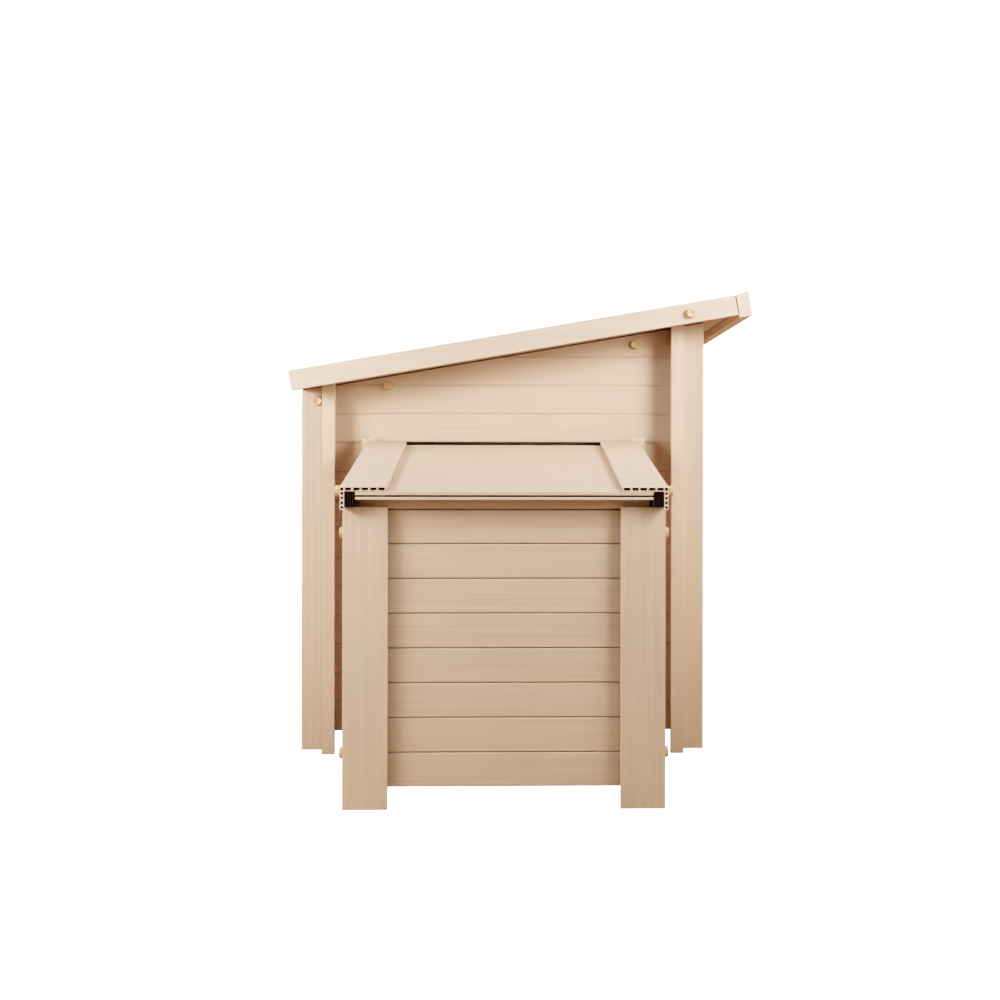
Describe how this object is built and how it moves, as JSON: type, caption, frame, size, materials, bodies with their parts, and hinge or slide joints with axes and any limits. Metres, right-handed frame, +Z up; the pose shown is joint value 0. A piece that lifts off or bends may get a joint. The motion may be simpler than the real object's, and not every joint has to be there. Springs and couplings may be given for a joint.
{
  "type": "chicken coop",
  "caption": "Chicken coop with a hinged sloping roof, a nest box with a hinged lid on one end, a drop-down hen door and a slide-out tray.",
  "frame": {"origin": "on the ground under the middle of the object's box", "axes": "+X towards the high side of the roof, +Y from the nest box towards the far end, +Z up"},
  "size_m": [1.111, 1.5, 1.1304],
  "materials": {
    "house_composite": "matt wood-plastic composite with fine lines along each extrusion",
    "nest_composite": "matt wood-plastic composite with fine lines along each extrusion",
    "roof_composite": "matt wood-plastic composite, smooth sheets and lined rails",
    "tray_sheet": "dull folded sheet",
    "zinc_steel": "zinc plated"
  },
  "bodies": {
    "house": {"corner_post_far_high": "house_composite", "corner_post_far_low": "house_composite", "corner_post_near_high": "house_composite", "corner_post_near_low": "house_composite", "door_hinge_fixed_leaf": "zinc_steel", "end_stile_far_high": "house_composite", "end_stile_far_low": "house_composite", "end_stile_near_high": "house_composite", "end_stile_near_low": "house_composite", "end_wall_far": "house_composite", "end_wall_near": "house_composite", "long_wall_high": "house_composite", "long_wall_low": "house_composite", "nest_divider": "nest_composite", "nest_floor": "nest_composite", "nest_front_plank_1": "nest_composite", "nest_front_plank_2": "nest_composite", "nest_front_plank_3": "nest_composite", "nest_front_plank_4": "nest_composite", "nest_front_plank_5": "nest_composite", "nest_front_plank_6": "nest_composite", "nest_front_plank_7": "nest_composite", "nest_front_plank_8": "nest_composite", "nest_leg_high": "nest_composite", "nest_leg_low": "nest_composite", "nest_rear_post_high": "nest_composite", "nest_rear_post_low": "nest_composite", "nest_side_high": "nest_composite", "nest_side_low": "nest_composite", "roof_hinge_fixed_leaf": "zinc_steel", "roost_bar_1": "house_composite", "roost_bar_2": "house_composite", "roost_ledger_high": "house_composite", "roost_ledger_low": "house_composite", "top_rail_far": "house_composite", "top_rail_high": "house_composite", "top_rail_low": "house_composite", "top_rail_near": "house_composite", "tray_runner_high": "house_composite", "tray_runner_low": "house_composite", "window_grille": "zinc_steel"},
    "roof": {"roof_fascia": "roof_composite", "roof_rail_near": "roof_composite", "roof_rail_far": "roof_composite", "roof_sheet_near": "roof_composite", "roof_sheet_far": "roof_composite", "roof_hinge_moving_leaf": "zinc_steel", "roof_hinge_pin": "zinc_steel"},
    "nest_lid": {"lid_rail_low": "nest_composite", "lid_rail_high": "nest_composite", "lid_panel": "nest_composite", "lid_cross_rail": "nest_composite", "lid_pivot_bar": "nest_composite", "lid_pivot_peg_low": "nest_composite", "lid_pivot_peg_high": "nest_composite"},
    "hen_door": {"hen_door": "house_composite", "door_hinge_moving_leaf": "zinc_steel"},
    "door_latch": {"door_latch": "house_composite"},
    "tray": {"tray_pan": "tray_sheet", "tray_front": "house_composite"}
  },
  "joints": [
    {"name": "roof_hinge", "type": "hinge", "parent": "house", "child": "roof", "pos_m": [-0.54004, 0.151, 0.89559], "axis": [0, -1, 0], "range_deg": [0, 60]},
    {"name": "nest_lid_hinge", "type": "hinge", "parent": "house", "child": "nest_lid", "pos_m": [-0.04174, -0.36, 0.752], "axis": [-1, 0, 0], "range_deg": [0, 60]},
    {"name": "hen_door_hinge", "type": "hinge", "parent": "house", "child": "hen_door", "pos_m": [0.46876, -0.004, 0.1094], "axis": [0, 1, 0], "range_deg": [0, 105]},
    {"name": "door_latch_turn", "type": "hinge", "parent": "house", "child": "door_latch", "pos_m": [0.46666, -0.004, 0.5234], "axis": [-1, 0, 0], "range_deg": [0, 90]},
    {"name": "tray_slide", "type": "slide", "parent": "house", "child": "tray", "axis": [0, 1, 0], "range_m": [0, 0.6]}
  ]
}
